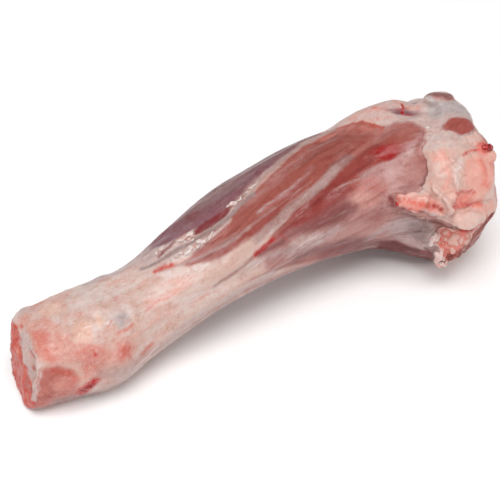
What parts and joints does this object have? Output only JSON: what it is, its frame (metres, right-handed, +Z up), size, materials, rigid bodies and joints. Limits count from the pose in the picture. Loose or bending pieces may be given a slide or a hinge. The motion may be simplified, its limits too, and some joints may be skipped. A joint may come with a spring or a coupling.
{
  "type": "raw lamb knuckle",
  "caption": "Raw lamb hind shank lying on its side, from the cut hock through tendon and muscle bellies to a knee end coated in torn pink fat",
  "frame": {"origin": "on the surface the shank lies on, under the middle of its box", "axes": "+X along the shank from the hock cut to the knee end, -Y towards the near side with the torn fat flap, +Z up"},
  "size_m": [0.2267, 0.0813, 0.0703],
  "materials": {
    "raw_meat": "satin"
  },
  "bodies": {
    "root": {"knuckle": "raw_meat"}
  },
  "joints": []
}
